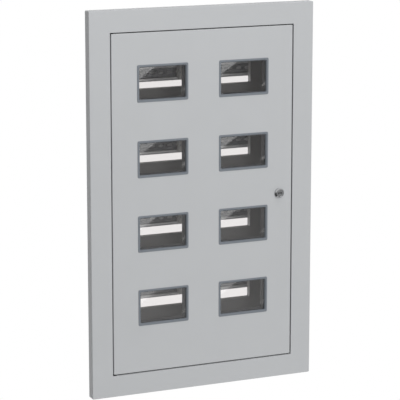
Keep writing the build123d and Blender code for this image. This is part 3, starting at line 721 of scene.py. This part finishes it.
polycarbonate, tree = new_material("Clear polycarbonate")
shader = add_node(tree, "BsdfPrincipled", {}, {"Base Color": linear(pane_tint), "Roughness": pane_roughness,
                                               "IOR": pane_ior, "Transmission Weight": 1.0})
through = add_node(tree, "BsdfTransparent", {}, {"Color": linear(pane_shade)})
path = add_node(tree, "LightPath", {}, {})
lets_light = add_node(tree, "Math", {"operation": "MAXIMUM"},
                      {0: path.outputs["Is Shadow Ray"], 1: path.outputs["Is Diffuse Ray"]})
surface = add_node(tree, "MixShader", {}, {0: lets_light.outputs[0], 1: shader.outputs[0],
                                           2: through.outputs[0]})
add_node(tree, "OutputMaterial", {}, {"Surface": surface.outputs[0]})
panes = [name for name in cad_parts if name.startswith("window_pane")]
dress(panes, polycarbonate)


# Cam lock: a zinc die casting with a bevelled head, chrome plated outside, and the plug that turns in it.
# The plating is bright but not a perfect mirror, with polishing marks too fine to see singly.
# Deeper than the plug's face, and so inside its key slot, the colour is a dark painted shade.
chrome_light = "B9BABB"
chrome_dark = "A6A7A9"
slot_painted_shade = "747576"
polish_mm = 1.5
chrome_roughness = (0.16, 0.28)
painted_shade_depths = (0.0004, 0.0016)


def chrome_with_painted_shade(name, shade_from, shade_to):
    """Polished chrome that gives way to a dark painted shade between two depths."""
    material, tree = new_material(name)
    place = add_node(tree, "TexCoord", {}, {}).outputs["Object"]
    polish = add_node(tree, "TexNoise", {}, {"Vector": place, "Scale": metre_mm / polish_mm,
                                             "Detail": fine_detail})
    colour = add_node(tree, "Mix", {"data_type": "RGBA"},
                      {0: polish.outputs["Fac"], 6: linear(chrome_dark), 7: linear(chrome_light)})
    depth = add_node(tree, "SeparateXYZ", {}, {0: place})
    slot_shade_share = add_node(tree, "MapRange", {}, {"Value": depth.outputs["Y"], "From Min": shade_from,
                                           "From Max": shade_to})
    shown = add_node(tree, "Mix", {"data_type": "RGBA"},
                     {0: slot_shade_share.outputs["Result"], 6: colour.outputs[2], 7: linear(slot_painted_shade)})
    roughness = add_node(tree, "MapRange", {}, {"Value": polish.outputs["Fac"], "To Min": chrome_roughness[0],
                                                "To Max": chrome_roughness[1]})
    shader = add_node(tree, "BsdfPrincipled", {}, {"Base Color": shown.outputs[2], "Metallic": 1.0,
                                                   "Roughness": roughness.outputs["Result"]})
    add_node(tree, "OutputMaterial", {}, {"Surface": shader.outputs[0]})
    return material


housing_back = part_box("lock_housing")[1].y
dress(["lock_housing"], chrome_with_painted_shade("Chrome plated zinc casting", housing_back,
                                       housing_back + painted_shade_depths[1]))
# Behind the plug's face the colour turns to painted shade, which darkens its key slot.
plug_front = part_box("lock_plug")[0].y
dress(["lock_plug"], chrome_with_painted_shade("Chrome plated lock plug with painted slot shade", plug_front + painted_shade_depths[0],
                                    plug_front + painted_shade_depths[1]))


# Lock nut and cam screw: plated steel, behind the door. The nut clamps the lock to the sheet,
# and the screw with its fixed washer holds the cam on the square end of the plug.
lock_bore = 0.0095
cam_head_flats = 0.008
cam_head_height = 0.0035
cam_washer_radius = 0.006
cam_washer_thickness = 0.001
cam_washer_edge = 0.0003
cam_shank_radius = 0.0025
hexagon_turn = math.radians(30)

low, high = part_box("lock_nut")
flats = min(high.x - low.x, high.z - low.z)
corner_turn = hexagon_turn if high.x - low.x > high.z - low.z else 0
nut_blank = hexagon_nut("lock_nut_blank", front_middle(low, high), flats, high.y - low.y, lock_bore,
                        corner_turn)
lock_nut = joined("lock_nut_chamfered", [nut_blank])
finish_piece(lock_nut, zinc, "door")
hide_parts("lock_nut")
low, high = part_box("cam_screw")
centre = front_middle(low, high)
seat = high.y - low.y - cam_head_height - cam_washer_thickness
washer_top = seat + cam_washer_thickness
shank_outline = [(0, 0), (cam_shank_radius, 0), (cam_shank_radius, seat), (cam_washer_radius, seat),
                 (cam_washer_radius, washer_top - cam_washer_edge),
                 (cam_washer_radius - cam_washer_edge, washer_top), (0, washer_top)]
shank = turned("cam_shank", shank_outline, centre, to_back)
head = hexagon_nut("cam_head", Vector((centre.x, high.y - cam_head_height, centre.z)), cam_head_flats,
                   cam_head_height, 0, corner_turn)
cam_screw = joined("cam_screw_hexagon", [head, shank])
finish_piece(cam_screw, zinc, "lock")
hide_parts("cam_screw")


# Studio: a white room with a pale floor well below the board, which hangs on its wall at eye height.
# One large soft light stands in front and to the right, and weaker ones hang overhead and stand behind.
floor_drop = 1.1
floor_reach = 3.0
floor_sides = 96
floor_colour = "F2F2F2"
floor_glow = 1.2
floor_shadow_share = 0.3
floor_shadow_reach = 1.0
pure_white = (1.0, 1.0, 1.0, 1.0)
room_level = 0.29
# Each softbox has its place, the length of its side and its power in watts.
softboxes = {"front_softbox": ((0.85, -5.4, 2.0), 2.6, 172.0),
             "top_softbox": ((0.2, -1.2, 3.4), 2.0, 31.0),
             "back_softbox": ((0.9, 3.2, 0.0), 3.0, 75.0)}

scene.view_settings.view_transform = "Standard"


def seen_directly(tree):
    """One for a ray from the camera, a mirror or a pane, and nought for the light that surfaces scatter."""
    path = add_node(tree, "LightPath", {}, {})
    plain = add_node(tree, "Math", {"operation": "MAXIMUM"},
                     {0: path.outputs["Is Camera Ray"], 1: path.outputs["Is Glossy Ray"]})
    through = add_node(tree, "Math", {"operation": "MAXIMUM"},
                       {0: plain.outputs[0], 1: path.outputs["Is Transmission Ray"]})
    return through.outputs[0]


world = bpy.data.worlds.new("Studio")
scene.world = world
world.use_nodes = True
tree = world.node_tree
tree.nodes.clear()
level = add_node(tree, "MapRange", {}, {"Value": seen_directly(tree), "To Min": room_level, "To Max": 1.0})
light = add_node(tree, "Background", {}, {"Color": pure_white, "Strength": level.outputs["Result"]})
add_node(tree, "OutputWorld", {}, {"Surface": light.outputs[0]})

bpy.ops.object.select_all(action="DESELECT")
bpy.ops.mesh.primitive_circle_add(vertices=floor_sides, radius=floor_reach, fill_type="NGON",
                                  location=(0, 0, cad_low.z - floor_drop))
floor = bpy.context.object
floor.name = "floor"
pale_floor, tree = new_material("Pale floor")
# The floor's glow is only seen and lights nothing, so it isn't sampled as a lamp.
pale_floor.cycles.emission_sampling = "NONE"
place = add_node(tree, "TexCoord", {}, {}).outputs["Object"]
reach = add_node(tree, "VectorMath", {"operation": "LENGTH"}, {0: place})
rim = add_node(tree, "MapRange", {}, {"Value": reach.outputs["Value"], "From Min": floor_shadow_reach,
                                      "From Max": floor_reach, "To Min": 1 - floor_shadow_share,
                                      "To Max": 1.0})
white_share = add_node(tree, "Math", {"operation": "MULTIPLY"},
                       {0: seen_directly(tree), 1: rim.outputs["Result"]})
plain = add_node(tree, "BsdfDiffuse", {}, {"Color": linear(floor_colour)})
white = add_node(tree, "Emission", {}, {"Color": pure_white, "Strength": floor_glow})
surface = add_node(tree, "MixShader", {}, {0: white_share.outputs[0], 1: plain.outputs[0],
                                           2: white.outputs[0]})
add_node(tree, "OutputMaterial", {}, {"Surface": surface.outputs[0]})
floor.data.materials.append(pale_floor)

middle = (cad_low + cad_high) / 2
for name, (place, side, power) in softboxes.items():
    lamp = bpy.data.lights.new(name, "AREA")
    lamp.shape = "SQUARE"
    lamp.size = side
    lamp.energy = power
    softbox = bpy.data.objects.new(name, lamp)
    scene.collection.objects.link(softbox)
    softbox.location = place
    softbox.rotation_mode = "QUATERNION"
    softbox.rotation_quaternion = (middle - Vector(place)).to_track_quat("-Z", "Y")
    softbox.visible_glossy = name == "front_softbox"
    softbox.visible_camera = False
    softbox.visible_transmission = False


# Camera: it stands where the photograph was taken from, to the left of the board and a little above it.
# The lens is long, so upright edges of the frame lean only a little towards each other.
camera_azimuth = -24.04
camera_elevation = 11.60
camera_distance = 5.041
camera_target = Vector((-0.0103, -0.1667, -0.0004))
camera_lens = 176.3
camera_sensor = 36.0
camera_clip = 200.0

lens = bpy.data.cameras.new("camera")
lens.lens = camera_lens
lens.sensor_width = camera_sensor
lens.clip_end = camera_clip
camera = bpy.data.objects.new("camera", lens)
scene.collection.objects.link(camera)
turn = math.radians(camera_azimuth)
rise = math.radians(camera_elevation)
back = Vector((math.sin(turn) * math.cos(rise), -math.cos(turn) * math.cos(rise), math.sin(rise)))
camera.location = camera_target + back * camera_distance
camera.rotation_mode = "QUATERNION"
camera.rotation_quaternion = (-back).to_track_quat("-Z", "Y")
scene.camera = camera


# Reflection cards: a grey card in front, darker at its head, and a black one to the left keep the white room
# out of the panes and the lock. Small white cards put a bright corner and a faint sliver into each pane.
front_card_distance = 2.0
front_card_size = 2.2
front_card_levels = (0.7, 0.06)
front_card_heights = (-0.8, 0.0)
left_card_direction = Vector((-0.76, -0.34, -0.55))
left_card_distance = 1.2
left_card_size = 2.1
left_card_level = 0.02
glint_distance = 1.4
pane_hidden_edge = 0.0023
# A glint has its level, and its corners as shares of the pane from the upper left: across, then down.
corner_glint = (2.8, [(0.0, 0.0), (0.36, 0.0), (0.0, 0.37)])
sliver_glint = (2.0, [(1.0, 0.66), (1.0, 0.80), (0.88, 0.83)])


def reflection_card(name, corners, levels, heights):
    """Flat card that only mirrors and panes can see, with a glow that changes level between two heights."""
    bpy.ops.object.select_all(action="DESELECT")
    bpy.ops.mesh.primitive_circle_add(vertices=len(corners), fill_type="NGON", location=(0, 0, 0))
    card = bpy.context.object
    card.name = name
    for vertex, corner in zip(card.data.vertices, corners):
        vertex.co = corner
    glow, tree = new_material(name + " glow")
    # A card is seen in reflections and lights nothing, so it isn't sampled as a lamp.
    glow.cycles.emission_sampling = "NONE"
    place = add_node(tree, "TexCoord", {}, {}).outputs["Object"]
    height = add_node(tree, "SeparateXYZ", {}, {0: place})
    level = add_node(tree, "MapRange", {}, {"Value": height.outputs["Z"], "From Min": heights[0],
                                            "From Max": heights[1], "To Min": levels[0], "To Max": levels[1]})
    light = add_node(tree, "Emission", {}, {"Color": pure_white, "Strength": level.outputs["Result"]})
    add_node(tree, "OutputMaterial", {}, {"Surface": light.outputs[0]})
    card.data.materials.append(glow)
    card.visible_camera = False
    card.visible_diffuse = False
    card.visible_transmission = False
    card.visible_shadow = False


def facing_card(name, direction, distance, size, levels, heights):
    """Square card at a distance from the middle of the front, turned to face it."""
    centre = camera_target + direction * distance
    across = direction.cross(Vector((0, 0, 1))).normalized() * size / 2
    up = across.cross(direction).normalized() * size / 2
    corners = [centre - across - up, centre + across - up, centre + across + up, centre - across + up]
    reflection_card(name, corners, levels, heights)


facing_card("front_card", Vector((-back.x, back.y, -back.z)), front_card_distance, front_card_size,
            front_card_levels, front_card_heights)
facing_card("left_card", left_card_direction, left_card_distance, left_card_size,
            (left_card_level, left_card_level), front_card_heights)
glint_y = camera_target.y - glint_distance
for name in panes:
    low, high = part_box(name)
    width = high.x - low.x - 2 * pane_hidden_edge
    height = high.z - low.z - 2 * pane_hidden_edge
    mirrored_camera = Vector((camera.location.x, 2 * low.y - camera.location.y, camera.location.z))
    for glint, (level, shares) in (("corner", corner_glint), ("sliver", sliver_glint)):
        on_card = []
        for across, down in shares:
            spot = Vector((low.x + pane_hidden_edge + width * across, low.y,
                           high.z - pane_hidden_edge - height * down))
            ray = spot - mirrored_camera
            on_card.append(spot + ray * ((glint_y - spot.y) / ray.y))
        reflection_card(f"{glint}_glint_{name}", on_card, (level, level), front_card_heights)
